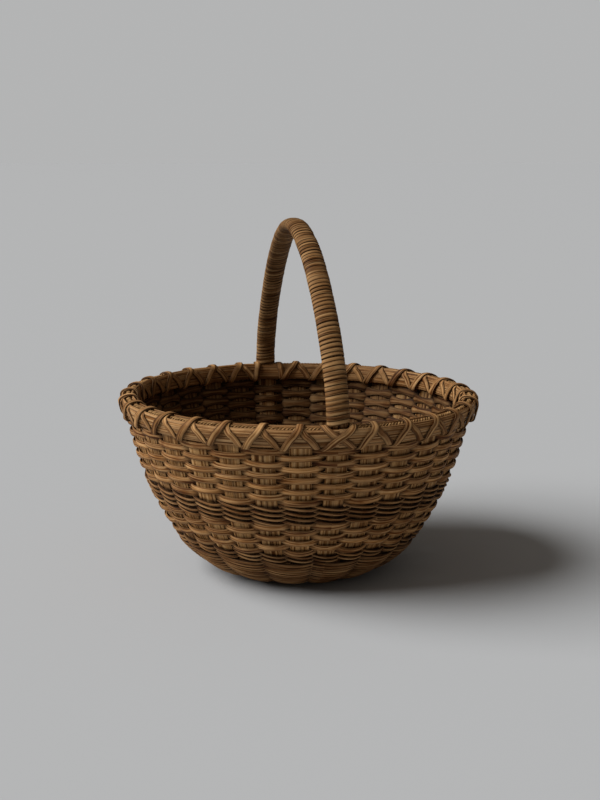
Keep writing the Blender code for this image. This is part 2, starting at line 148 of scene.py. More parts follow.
def smoothThrough(points, samples):
    # a curve through all the points, with so many samples between two of them
    points = np.asarray(points, float)
    before = 2 * points[:1] - points[1:2]
    after = 2 * points[-1:] - points[-2:-1]
    padded = np.concatenate([before, points, after])
    t = np.linspace(0, 1, samples, endpoint=False)[:, None]
    runs = []
    for a, b, c, d in zip(padded[:-3], padded[1:-2], padded[2:-1], padded[3:]):
        bend = (2 * a - 5 * b + 4 * c - d) * t**2 + (3 * b - a - 3 * c + d) * t**3
        runs.append(0.5 * (2 * b + (c - a) * t + bend))
    return np.concatenate(runs + [points[-1:]])


def wobble(angle, size, waves=(3, 5, 9, 14)):
    # slow hand-made unevenness round a row
    phases = rng.random(len(waves)) * 2 * math.pi
    return size * sum(np.sin(w * angle + p) for w, p in zip(waves, phases)) / math.sqrt(len(waves))


def ovalOutline(count, square, backFlat):
    # a reed's outline: steps across the reed and through it, both from -1 to 1
    turn = np.linspace(0, 2 * math.pi, count, endpoint=False)
    across = signedPower(np.cos(turn), square)
    through = signedPower(np.sin(turn), square)
    return np.stack([across, np.where(through < 0, through * backFlat, through)], -1)


# how every reed takes its pattern and its painted shade, and how close its seam's points lie
reeds = {"patternRoom": 7.0, "edgePower": 2.5, "faceShare": 0.3, "innerRamp": 3, "mergeWithin": 0.002 * mm}


def rollReed(points, sideways, outward, halfWidth, halfThick, outline, closed, tone,
             outerShade=0.0, edgeShade=0.0, innerShade=0.0, hiddenShade=None):
    # a flat grid is rolled into a reed: its long side runs along the points, its short side round the outline
    count = len(points)
    long = count if closed else count - 1
    short = len(outline)
    bpy.ops.object.select_all(action="DESELECT")
    bpy.ops.mesh.primitive_grid_add(x_subdivisions=long, y_subdivisions=short, size=1)
    reed = bpy.context.object
    mesh = reed.data
    flat = np.empty(len(mesh.vertices) * 3, np.float32)
    mesh.vertices.foreach_get("co", flat)
    flat = flat.reshape(-1, 3)
    i = np.rint((flat[:, 0] + 0.5) * long).astype(int)
    j = np.rint((flat[:, 1] + 0.5) * short).astype(int)
    at = i % count
    step = outline[j % short]
    halfWidth = np.broadcast_to(halfWidth, count)
    halfThick = np.broadcast_to(halfThick, count)
    placed = points[at] + sideways[at] * (halfWidth[at] * step[:, 0])[:, None]
    placed = placed + outward[at] * (halfThick[at] * step[:, 1])[:, None]
    mesh.vertices.foreach_set("co", placed.astype(np.float32).ravel())
    # the pattern's map is in metres, and each reed takes its own part of the pattern
    run = runAlong(np.concatenate([points, points[:1]]) if closed else points)
    girth = 2 * (halfWidth.mean() + halfThick.mean())
    shift = rng.random(2) * reeds["patternRoom"]
    corner = np.empty(len(mesh.loops), np.int32)
    mesh.loops.foreach_get("vertex_index", corner)
    layer = mesh.uv_layers.active
    layer.name = "reed"
    uv = np.stack([run[i[corner]] + shift[0], j[corner] / short * girth + shift[1]], -1)
    layer.data.foreach_set("uv", uv.astype(np.float32).ravel())
    # painted shade: darker along a reed's edges where it meets its neighbours, more where it dives under
    # them, and on its inner face
    edge = np.abs(step[:, 0]) ** reeds["edgePower"]
    deep = np.broadcast_to(outerShade, count)[at]
    if hiddenShade is not None:
        deep = np.where(step[:, 1] < 0, np.broadcast_to(hiddenShade, count)[at], deep)
    shadeLevel = edgeShade * edge + deep * (reeds["faceShare"] + (1 - reeds["faceShare"]) * edge)
    shadeLevel = shadeLevel + innerShade * np.clip(-reeds["innerRamp"] * step[:, 1], 0, 1)
    spread = {"tone": np.broadcast_to(tone, count)[at], "shade": np.clip(shadeLevel, 0, 1)}
    for name, values in spread.items():
        mesh.attributes.new(name, "FLOAT", "POINT").data.foreach_set("value", values.astype(np.float32))
    return reed


def bindReeds(name, strips, material, slot, *nodes):
    # one piece of one or more reeds: seams merged, ends closed, faces outwards
    bpy.ops.object.select_all(action="DESELECT")
    for strip in strips:
        strip.select_set(True)
    piece = strips[0]
    bpy.context.view_layer.objects.active = piece
    if len(strips) > 1:
        bpy.ops.object.join()
    bpy.ops.object.mode_set(mode="EDIT")
    bpy.ops.mesh.select_all(action="SELECT")
    bpy.ops.mesh.remove_doubles(threshold=reeds["mergeWithin"])
    bpy.ops.mesh.fill_holes(sides=0)
    bpy.ops.mesh.select_all(action="SELECT")
    bpy.ops.mesh.normals_make_consistent(inside=False)
    bpy.ops.object.mode_set(mode="OBJECT")
    bpy.ops.object.shade_smooth()
    piece.name = name
    piece.data.name = name
    piece.data.materials.clear()
    piece.data.materials.append(material)
    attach(piece, "root")
    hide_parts(*nodes)


# finishes: scales are in waves per metre along and across a reed
agedReed = {
    "dark": (0.142, 0.043, 0.007), "light": (0.365, 0.161, 0.043), "pale": (0.700, 0.474, 0.248),
    # the second colour on the next line is the near-black that the painted shade mixes in
    "groove": (0.046, 0.015, 0.003), "shadeColour": (0.010, 0.003, 0.001),
    "toneLow": (0.55, 0.455, 0.36), "toneHigh": (1.18, 1.095, 0.97),
    "fibreAlong": 26.0, "fibreAcross": 1600.0, "fibreDetail": 3.0, "fibreRough": 0.6,
    "streakAlong": 10.0, "streakAcross": 1050.0, "streakDetail": 2.0, "streakRough": 0.5,
    "blotchAlong": 70.0, "blotchAcross": 90.0, "blotchDetail": 3.0, "blotchRough": 0.55,
    "streakLow": 0.38, "streakHigh": 0.58,
    "paleFrom": 0.38, "paleTo": 0.66, "paleMix": 0.70,
    "grooveFrom": 0.50, "grooveTo": 0.28, "grooveMix": 0.9,
    "blotchFrom": 0.52, "blotchTo": 0.75, "blotchMix": 0.45,
    "shadeMix": 0.94,
    "roughFrom": 0.3, "roughTo": 0.7, "roughLow": 0.50, "roughHigh": 0.78,
    "streakHeight": 0.7, "bump": 0.9, "bumpDistance": 0.35 * mm, "gloss": 0.08,
}
# sockets of a mix node that a colour uses
colourMix = {"factor": 0, "first": 6, "second": 7, "result": 2}


def addNode(tree, kind, **settings):
    made = tree.nodes.new(kind)
    for key, value in settings.items():
        setattr(made, key, value)
    return made


def reedFinish(name, **changes):
    # aged reed: fibres and streaks along the strip, a tone for each strip, and painted shade where strips
    # dive under and between them
    look = {**agedReed, **changes}
    material = bpy.data.materials.new(name)
    material.use_nodes = True
    tree = material.node_tree
    shader = tree.nodes["Principled BSDF"]
    join = tree.links.new
    uv = addNode(tree, "ShaderNodeUVMap", uv_map="reed")
    tone = addNode(tree, "ShaderNodeAttribute", attribute_name="tone")
    shade = addNode(tree, "ShaderNodeAttribute", attribute_name="shade")

    def pattern(kind):
        mapping = addNode(tree, "ShaderNodeMapping")
        mapping.inputs["Scale"].default_value = (look[f"{kind}Along"], look[f"{kind}Across"], 1.0)
        noise = addNode(tree, "ShaderNodeTexNoise", noise_dimensions="2D")
        noise.inputs["Scale"].default_value = 1.0
        noise.inputs["Detail"].default_value = look[f"{kind}Detail"]
        noise.inputs["Roughness"].default_value = look[f"{kind}Rough"]
        join(uv.outputs["UV"], mapping.inputs["Vector"])
        join(mapping.outputs["Vector"], noise.inputs["Vector"])
        return noise.outputs["Fac"]

    def mixed(kind, factor, first, second):
        mix = addNode(tree, "ShaderNodeMix", data_type="RGBA", blend_type=kind)
        for part, value in (("factor", factor), ("first", first), ("second", second)):
            socket = mix.inputs[colourMix[part]]
            if isinstance(value, float):
                socket.default_value = value
            elif isinstance(value, tuple):
                socket.default_value = (*value, 1.0)
            else:
                join(value, socket)
        return mix.outputs[colourMix["result"]]

    def ranged(value, low, high, toLow, toHigh):
        spread = addNode(tree, "ShaderNodeMapRange")
        spread.inputs["From Min"].default_value = low
        spread.inputs["From Max"].default_value = high
        spread.inputs["To Min"].default_value = toLow
        spread.inputs["To Max"].default_value = toHigh
        join(value, spread.inputs["Value"])
        return spread.outputs["Result"]

    fibre = pattern("fibre")
    streak = pattern("streak")
    blotch = pattern("blotch")
    streaked = ranged(streak, look["streakLow"], look["streakHigh"], 0.0, 1.0)
    paled = ranged(fibre, look["paleFrom"], look["paleTo"], 0.0, look["paleMix"])
    grooved = ranged(fibre, look["grooveFrom"], look["grooveTo"], 0.0, look["grooveMix"])
    blotched = ranged(blotch, look["blotchFrom"], look["blotchTo"], 0.0, look["blotchMix"])
    toned = ranged(tone.outputs["Fac"], 0.0, 1.0, 0.0, 1.0)
    shaded = ranged(shade.outputs["Fac"], 0.0, 1.0, 0.0, look["shadeMix"])
    base = mixed("MIX", streaked, look["dark"], look["light"])
    base = mixed("MIX", paled, base, look["pale"])
    base = mixed("MIX", grooved, base, look["groove"])
    base = mixed("MIX", blotched, base, look["dark"])
    base = mixed("MULTIPLY", 1.0, base, mixed("MIX", toned, look["toneLow"], look["toneHigh"]))
    # painted shade: the shade attribute darkens the colour towards near-black
    base = mixed("MIX", shaded, base, look["shadeColour"])
    join(base, shader.inputs["Base Color"])
    rough = ranged(fibre, look["roughFrom"], look["roughTo"], look["roughLow"], look["roughHigh"])
    join(rough, shader.inputs["Roughness"])
    relief = addNode(tree, "ShaderNodeMath", operation="MULTIPLY_ADD")
    join(streak, relief.inputs[0])
    relief.inputs[1].default_value = look["streakHeight"]
    join(fibre, relief.inputs[2])
    bump = addNode(tree, "ShaderNodeBump")
    bump.inputs["Strength"].default_value = look["bump"]
    bump.inputs["Distance"].default_value = look["bumpDistance"]
    join(relief.outputs["Value"], bump.inputs["Height"])
    join(bump.outputs["Normal"], shader.inputs["Normal"])
    shader.inputs["Specular IOR Level"].default_value = look["gloss"]
    return material


stakeFinish = reedFinish(
    "stakeReed", fibreAlong=9.0, fibreAcross=1500.0, streakAlong=3.0, streakLow=0.30, streakHigh=0.60,
    dark=(0.105, 0.036, 0.007), light=(0.355, 0.172, 0.052), pale=(0.690, 0.470, 0.245),
)
weaverFinish = reedFinish("weaverReed")
roundFinish = reedFinish("roundReed", toneLow=(0.50, 0.42, 0.34), toneHigh=(1.06, 0.98, 0.88))
rimFinish = reedFinish(
    "rimReed", fibreAlong=12.0, fibreAcross=1900.0, streakAlong=5.0, streakAcross=1100.0, grooveMix=0.85,
    dark=(0.125, 0.046, 0.010), toneHigh=(1.00, 0.975, 0.945),
)
fillerFinish = reedFinish(
    "fillerGrass", dark=(0.15, 0.085, 0.032), light=(0.36, 0.225, 0.098), roughLow=0.7, roughHigh=0.9,
)
lashFinish = reedFinish(
    "lashingCane", fibreAlong=18.0, streakAlong=7.0, streakAcross=900.0, light=(0.340, 0.170, 0.057),
)
handleFinish = reedFinish("handleWood", toneLow=(0.5, 0.46, 0.42), toneHigh=(0.8, 0.76, 0.7))
wrapFinish = reedFinish(
    "wrapCane", streakAcross=800.0, streakLow=0.32, streakHigh=0.64, dark=(0.165, 0.069, 0.018),
    light=(0.350, 0.178, 0.062), pale=(0.575, 0.390, 0.200), toneHigh=(1.02, 0.97, 0.90),
)
print("finishes made")

# spokes: each is two flat strips side by side, from one stake's top across the base to another's
spokes = {
    "perLayer": 4, "thick": 1.2 * mm, "widthAtFoot": 9.0 * mm, "widthAtRim": 17.9 * mm,
    "crossWidth": 7.0 * mm, "crossGap": 0.3 * mm, "layerGap": 0.3 * mm, "spreadRadius": 27.0 * mm,
    "baseShare": 0.97, "openFrom": 98.0 * mm, "openOver": 12.0 * mm,
    "bandShare": 0.84, "bandMargin": 0.6 * mm,
    "wallFrom": 1.0 * mm, "wallSamples": 70, "baseSamples": 12,
    "driftTurn": 9, "driftPhase": 6, "widthDrift": 0.025, "sideDrift": 0.35 * mm, "sideRate": 1.3,
    # the stakes' inward faces get painted shade, the inside of the bowl being in shade
    "tones": (0.35, 0.9), "innerShade": 0.55,
    # painted shade on the stakes where they show in the gaps between twined strands, in the band and the base
    "twinedShade": 2.4, "bandShadeMargin": 2.5 * mm, "baseShadeMargin": 4.0 * mm,
}
stakeOutline = np.array([
    (-1.0, 0.0), (-0.95, 0.75), (-0.55, 0.97), (0.0, 1.0), (0.55, 0.97), (0.95, 0.75),
    (1.0, 0.0), (0.95, -0.75), (0.55, -0.97), (0.0, -1.0), (-0.55, -0.97), (-0.95, -0.75),
])
bandTop = reachOf("twine_1a")
bandFoot = reachOf("twine_4a")


def inBand(reach, margin):
    return (reach < bandTop + margin) & (reach > bandFoot - margin)


def stakeWidth(reach, radius):
    top = float(wallAt(stakeTopReach)[0])
    share = (radius - bowl["footRadius"]) / (top - bowl["footRadius"])
    width = spokes["widthAtFoot"] + (spokes["widthAtRim"] - spokes["widthAtFoot"]) * share
    # inside the twined base the stakes lie side by side, and behind the twined band they nearly do
    pitch = stakePitch * radius
    hidden = np.clip((spokes["openFrom"] - radius) / spokes["openOver"], 0, 1)
    width = width + hidden * np.clip(spokes["baseShare"] * pitch - width, 0, None)
    banded = np.maximum(width, spokes["bandShare"] * pitch)
    return np.where(inBand(reach, spokes["bandMargin"]), banded, width)


def wallStretch(angle):
    # a stake from the foot to its top: points, directions, half its width and its painted shade
    reach = np.linspace(bowl["footRadius"] + spokes["wallFrom"], stakeTopReach, spokes["wallSamples"])
    point, outward, _ = onWall(reach, np.full_like(reach, angle), 0.0)
    sideways = np.tile([-math.sin(angle), math.cos(angle), 0.0], (len(reach), 1))
    halfWidth = stakeWidth(reach, wallAt(reach)[0]) / 2
    inBase = reach < reachOf("lower_weaver_6") - spokes["baseShadeMargin"]
    twined = inBand(reach, spokes["bandShadeMargin"]) | inBase
    return point, outward, sideways, halfWidth, np.where(twined, spokes["twinedShade"], 0.0)


def makeSpoke(number, layer, index):
    turn = stakePitch / 2 + layer * math.pi / 2
    cos, sin = math.cos(turn), math.sin(turn)
    step = index - (spokes["perLayer"] - 1) / 2
    spread = step * spokePitch
    shelf = bowl["floorLevel"] + (layer - 0.5) * (spokes["thick"] + spokes["layerGap"])
    crossPitch = spokes["crossWidth"] + spokes["crossGap"]
    crossReach = spokes["perLayer"] / 2 * crossPitch

    def plan(x, y, z):
        return (x * cos - y * sin, x * sin + y * cos, z)

    strips = []
    for half in (-1, 1):
        startAngle = turn + math.pi - spread - half * stakePitch / 2
        endAngle = turn + spread + half * stakePitch / 2
        downPoint, downOut, downSide, downHalf, downShade = (part[::-1] for part in wallStretch(startAngle))
        upPoint, upOut, upSide, upHalf, upShade = wallStretch(endAngle)
        # across the base the strip runs through the crossing, level with its layer
        quarter = half * spokes["crossWidth"] / 4
        crossY = step * crossPitch + quarter
        spreadX = spokes["spreadRadius"] * math.cos(spread) - quarter * math.sin(spread)
        spreadY = spokes["spreadRadius"] * math.sin(spread) + quarter * math.cos(spread)
        across = (
            downPoint[-1], plan(-spreadX, spreadY, bowl["floorLevel"]), plan(-crossReach, crossY, shelf),
            plan(crossReach, crossY, shelf), plan(spreadX, spreadY, bowl["floorLevel"]), upPoint[0],
        )
        basePoint = smoothThrough(across, spokes["baseSamples"])[1:-1]
        baseOut = np.tile([0.0, 0.0, -1.0], (len(basePoint), 1))
        baseSide = unit(np.cross(baseOut, unit(np.gradient(basePoint, axis=0))))
        if np.dot(baseSide[-1], upSide[0]) < 0:
            baseSide = -baseSide
        if np.dot(downSide[-1], baseSide[0]) < 0:
            downSide = -downSide
        fromCentre = np.linalg.norm(basePoint[:, :2], axis=1)
        baseHalf = np.interp(fromCentre, [spokes["spreadRadius"], bowl["footRadius"]],
                             [spokes["crossWidth"] / 4, spokes["widthAtFoot"] / 2])
        points = np.concatenate([downPoint, basePoint, upPoint])
        outward = np.concatenate([downOut, baseOut, upOut])
        sideways = np.concatenate([downSide, baseSide, upSide])
        halfWidth = np.concatenate([downHalf, baseHalf, upHalf])
        shadeLevel = np.concatenate([downShade, np.zeros(len(basePoint)), upShade])
        # a cut strip isn't quite even or straight
        drift = np.linspace(0, 1, len(points)) * spokes["driftTurn"]
        widthTurn = drift + rng.random() * spokes["driftPhase"]
        sideTurn = drift * spokes["sideRate"] + rng.random() * spokes["driftPhase"]
        halfWidth = halfWidth * (1 + spokes["widthDrift"] * np.sin(widthTurn))
        points = points + sideways * (spokes["sideDrift"] * np.sin(sideTurn))[:, None]
        tone = rng.uniform(*spokes["tones"])
        # the strip gets painted shade in the twined gaps and on its inward face
        strips.append(rollReed(points, sideways, outward, halfWidth, spokes["thick"] / 2, stakeOutline, False,
                               tone, outerShade=shadeLevel, innerShade=spokes["innerShade"]))
    bindReeds(f"spoke_{number}_strips", strips, stakeFinish, "stake_reed", f"spoke_{number}")


for layer in (0, 1):
    for index in range(spokes["perLayer"]):
        makeSpoke(layer * spokes["perLayer"] + index + 1, layer, index)
print("spokes made")

# woven rows of flat-oval reed
weavers = {
    "upperRows": 10, "lowerRows": 6, "upperWidth": 5.5 * mm, "lowerWidth": 5.9 * mm, "thick": 2.2 * mm,
    "outline": (14, 0.85, 0.5), "perStake": 16, "press": 1.5, "bow": 0.75 * mm, "tuck": 0.25 * mm,
    "tailThick": 2.4 * mm, "rowMargin": 1.0 * mm,
    "uneven": 0.32 * mm, "stakeUneven": 0.26 * mm, "widthUneven": 0.05,
    "cross": 1.62, "crossFrom": 0.7, "crossRamp": 2.2,
    "tones": (0.25, 0.85), "toneUneven": 0.12, "toneWaves": (7, 11, 16, 23),
    # painted shade: darker where a face lies behind a stake, along the edges where rows meet, and on the
    # inward faces
    "outerShade": 1.9, "hiddenShade": 1.5, "shadeFrom": 0.28, "shadeRamp": 1.7, "edgeShade": 0.6, "innerShade": 0.6,
}
# rows beside the rim and the twined band lie closer to it and are wider: lift and share of the width
edgeRows = {
    "upper_weaver_1": (1.0 * mm, 1.16),
    "upper_weaver_10": (-0.6 * mm, 1.14),
    "lower_weaver_1": (0.5 * mm, 1.12),
}


def pressed(cosine, press):
    # a reed lies flat on each stake and crosses quickly between two of them
    return np.tanh(press * cosine) / math.tanh(press)


def makeWeaver(name, node, width, phase):
    reach = reachOf(node)
    angle = np.linspace(0, 2 * math.pi, bowl["stakes"] * weavers["perStake"], endpoint=False)
    # 1 where the reed passes in front of a stake, -1 where it passes behind one
    cosine = np.cos(math.pi * (angle / stakePitch + phase))
    lie = pressed(cosine, weavers["press"])
    out = (bowl["stakeHalf"] + weavers["thick"] / 2) * lie
    out = out + weavers["bow"] * np.clip(cosine, 0, 1) ** 2 - weavers["tuck"] * np.clip(-cosine, 0, 1) ** 2
    nearest = np.rint(angle / stakePitch).astype(int) % bowl["stakes"]
    # the upper rows make room for the handle's tails
    if reach > reachOf("upper_weaver_10") - weavers["rowMargin"]:
        besideTail = np.isin(nearest, handleStakes) & (cosine < 0)
        out = np.where(besideTail, out - weavers["tailThick"] * np.clip(-lie, 0, 1) ** 2, out)
    nearer, wider = edgeRows.get(node, (0.0, 1.0))
    stakeLift = rng.normal(0, weavers["stakeUneven"], bowl["stakes"])
    lift = wobble(angle, weavers["uneven"]) + stakeLift[nearest] * np.abs(lie) + nearer
    lift = lift + rimSway(angle)[1] * (reach - bowl["footRadius"]) / (rimReach - bowl["footRadius"])
    point, outward, upward = onWall(reach, angle, out, lift)
    # a reed spreads where it turns in behind a stake
    ramp = np.clip(weavers["crossFrom"] - weavers["crossRamp"] * cosine, 0, 1)
    flare = 1 + (weavers["cross"] - 1) * (1 - cosine**2) * ramp
    halfWidth = width * wider / 2 * flare * (1 + wobble(angle, weavers["widthUneven"]))
    tone = rng.uniform(*weavers["tones"]) + wobble(angle, weavers["toneUneven"], weavers["toneWaves"])
    # painted shade: each face is darkened where it lies behind a stake
    outerShade = weavers["outerShade"] * np.clip(weavers["shadeFrom"] - weavers["shadeRamp"] * cosine, 0, 1)
    hiddenShade = weavers["hiddenShade"] * np.clip(weavers["shadeFrom"] + weavers["shadeRamp"] * cosine, 0, 1)
    outline = ovalOutline(*weavers["outline"])
    reed = rollReed(point, upward, outward, halfWidth, weavers["thick"] / 2, outline, True,
                    np.clip(tone, 0, 1), outerShade, weavers["edgeShade"], weavers["innerShade"], hiddenShade)
    bindReeds(name, [reed], weaverFinish, "weaver_reed", node)


for band in ("upper", "lower"):
    for row in range(weavers[f"{band}Rows"]):
        makeWeaver(f"{band}Weaver_{row + 1}", f"{band}_weaver_{row + 1}", weavers[f"{band}Width"], row)
print("weavers made")

# twined rows of round reed, two strands that swap sides between stakes
twining = {
    "rows": 4, "bandThick": 2.35 * mm, "openThick": 2.4 * mm, "sideThick": 3.0 * mm, "footThick": 2.78 * mm,
    "outline": (8, 1.0, 1.0), "perLobe": 14, "press": 1.9, "bow": 0.9 * mm, "lobeBow": 1.3 * mm,
    "bowPower": 1.5, "swap": 0.5, "swell": 0.5, "sag": 0.5 * mm, "uneven": 0.22 * mm, "thickUneven": 0.04,
    "topMargin": 1.0 * mm, "openRows": 2, "openStep": 4.6 * mm, "openStart": 0.6, "closeStart": 0.65,
    "closeStep": 3.75 * mm, "footMargin": 14.0 * mm, "eyeRadius": 19.0 * mm,
    "bandTones": (0.2, 0.75), "openTones": (0.35, 0.95), "closeTones": (0.2, 0.8),
    "toneUneven": 0.12, "toneWaves": (5, 9, 13, 19),
    # painted shade: darker where a strand crosses between stakes, along its edges between rows, and on the
    # inward faces
    "outerShade": 1.2, "shadePower": 1.2, "edgeShade": 0.95, "innerShade": 0.3,
}


def twinedStrand(reach, thick, phase, tones, overSpokes):
    # one strand of a row, over single stakes or over the pairs that make a spoke's end
    pitch = spokePitch if overSpokes else stakePitch
    offset = stakePitch / 2 if overSpokes else 0.0
    bow = twining["lobeBow"] if overSpokes else twining["bow"]
    angle = np.linspace(0, 2 * math.pi, round(2 * math.pi / pitch) * twining["perLobe"], endpoint=False)
    place = math.pi * ((angle - offset) / pitch + phase)
    cosine, sine = np.cos(place), np.sin(place)
    lie = pressed(cosine, twining["press"])
    steep = float(wallAt(reach)[3])
    out = (bowl["stakeHalf"] + thick / 2) * lie + bow * steep * np.clip(cosine, 0, 1) ** twining["bowPower"]
    lift = -twining["swap"] * thick * sine + wobble(angle, twining["uneven"]) - twining["sag"] * lie
    point, outward, upward = onWall(reach, angle, out, lift)
    tone = rng.uniform(*tones) + wobble(angle, twining["toneUneven"], twining["toneWaves"])
    between = 1 - np.abs(lie)
    half = thick / 2 * (1 + wobble(angle, twining["thickUneven"]) + twining["swell"] * between)
    # painted shade where the strand crosses between stakes
    outerShade = twining["outerShade"] * between ** twining["shadePower"]
    return rollReed(point, upward, outward, half, half, ovalOutline(*twining["outline"]), True,
                    np.clip(tone, 0, 1), outerShade, twining["edgeShade"], twining["innerShade"])


for row in range(twining["rows"]):
    for phase, letter in enumerate("ab"):
        node = f"twine_{row + 1}{letter}"
        reed = twinedStrand(reachOf(node), twining["bandThick"], phase, twining["bandTones"], False)
        bindReeds(f"twineStrand_{row + 1}{letter}", [reed], roundFinish, "round_reed", node)

# the base: open rows over the stakes, then close rows over the spokes, inwards to the bare centre
sideTop = float(np.interp(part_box("side_twining_outer")[1].z, lineHeights, lineReach)) + twining["topMargin"]
sideReeds = []
footReeds = []
for row in range(twining["openRows"]):
    reach = sideTop - (row + twining["openStart"]) * twining["openStep"]
    for phase in (0, 1):
        sideReeds.append(twinedStrand(reach, twining["openThick"], phase, twining["openTones"], False))
reach = sideTop - (twining["openRows"] + twining["closeStart"]) * twining["openStep"]
while reach > twining["eyeRadius"]:
    onFoot = reach < bowl["footRadius"] + twining["footMargin"]
    thick = twining["footThick"] if onFoot else twining["sideThick"]
    rows = footReeds if onFoot else sideReeds
    for phase in (0, 1):
        rows.append(twinedStrand(reach, thick, phase, twining["closeTones"], True))
    reach -= twining["closeStep"]
bindReeds("sideTwining", sideReeds, roundFinish, "round_reed", "side_twining_outer", "side_twining_inner")
bindReeds("footTwining", footReeds, roundFinish, "round_reed", "foot_twining_outer", "foot_twining_inner")
print("twining made")

# rims: an outer and an inner hoop of flat-oval reed
rims = {
    "tall": 15.0 * mm, "thick": 4.6 * mm, "outline": (18, 1.05, 0.8), "samples": 192,
    "outerAt": 2.75 * mm, "innerAt": -5.4 * mm, "drop": 0.2 * mm, "uneven": 0.25 * mm, "outUneven": 0.15 * mm,
    "outerTone": 0.6, "innerTone": 0.4, "toneUneven": 0.1,
}


def makeRim(name, node, at, facing, tone):
    angle = np.linspace(0, 2 * math.pi, rims["samples"], endpoint=False)
    lean, tilt = rimSway(angle)
    out = at + wobble(angle, rims["outUneven"]) + lean
    lift = wobble(angle, rims["uneven"]) + tilt - rims["drop"]
    point, outward, upward = onWall(rimReach, angle, out, lift)
    reed = rollReed(point, upward, outward * facing, rims["tall"] / 2, rims["thick"] / 2,
                    ovalOutline(*rims["outline"]), True, tone + wobble(angle, rims["toneUneven"]))
    bindReeds(name, [reed], rimFinish, "rim_reed", node)


makeRim("outerRimHoop", "rim_outer", rims["outerAt"], 1, rims["outerTone"])
makeRim("innerRimHoop", "rim_inner", rims["innerAt"], -1, rims["innerTone"])
print("rims made")

# filler: a twisted grass cord on the stakes' ends, from one leg of the handle to the other
filler = {
    "strands": 3, "strandThick": 2.1 * mm, "outline": (7, 1.0, 1.0), "step": 1.1 * mm,
    "layRadius": 1.1 * mm, "layLength": 8.5 * mm, "at": -1.35 * mm, "above": 5.5 * mm, "legRoom": 9.2 * mm,
    "tones": (0.1, 0.5), "toneUneven": 0.2, "toneRate": 180,
}


def makeFiller(name, node, start):
    radius = float(wallAt(rimReach)[0])
    margin = filler["legRoom"] / radius
    count = int((math.pi - 2 * margin) * radius / filler["step"])
    angle = np.linspace(start + margin, start + math.pi - margin, count)
    run = (angle - angle[0]) * radius
    lean, tilt = rimSway(angle)
    half = filler["strandThick"] / 2
    strips = []
    for strand in range(filler["strands"]):
        turn = 2 * math.pi * (run / filler["layLength"] + strand / filler["strands"])
        out = filler["at"] + filler["layRadius"] * np.cos(turn) + lean
        lift = filler["above"] + filler["layRadius"] * np.sin(turn) + tilt
        point, outward, upward = onWall(rimReach, angle, out, lift)
        patches = filler["toneUneven"] * np.sin(run * filler["toneRate"] + strand)
        tone = rng.uniform(*filler["tones"]) + patches
        strips.append(rollReed(point, upward, outward, half, half, ovalOutline(*filler["outline"]), False,
                               np.clip(tone, 0, 1)))
    bindReeds(name, strips, fillerFinish, "filler_grass", node)


makeFiller("fillerCord_1", "rim_filler_1", 0.0)
makeFiller("fillerCord_2", "rim_filler_2", math.pi)
print("filler made")

# lashing: two strands wound opposite ways round both rims, crossing over each stake
lashing = {
    "width": 5.9 * mm, "thick": 1.7 * mm, "outline": (12, 0.7, 0.7), "samples": 6,
    "outerFace": 4.75 * mm, "innerFace": -7.5 * mm, "top": 7.2 * mm, "bottom": -7.3 * mm,
    "lift": 0.65 * mm, "overLift": 0.85 * mm, "legRoom": 10.6 * mm, "drift": 0.35 * mm,
    "coreSide": 4.5 * mm, "coreEnd": 5.0 * mm, "tones": (0.25, 0.85), "edgeShade": 0.85,
    # half a turn over each face: how far inside the face, from which level, how far up, share of the turn
    "outerTurn": (
        (1.9 * mm, "bottom", 0.4 * mm, 0.10), (0.35 * mm, "bottom", 2.6 * mm, 0.22),
        (-0.15 * mm, "middle", 0.5 * mm, 0.52),
        (0.15 * mm, "top", -4.6 * mm, 0.74), (2.4 * mm, "top", -1.2 * mm, 0.93),
    ),
    "innerTurn": (
        (2.4 * mm, "top", -1.2 * mm, 1.07), (0.15 * mm, "top", -4.6 * mm, 1.26),
        (0.0, "middle", 0.5 * mm, 1.48),
        (0.35 * mm, "bottom", 2.6 * mm, 1.78), (1.9 * mm, "bottom", 0.4 * mm, 1.9),
    ),
}


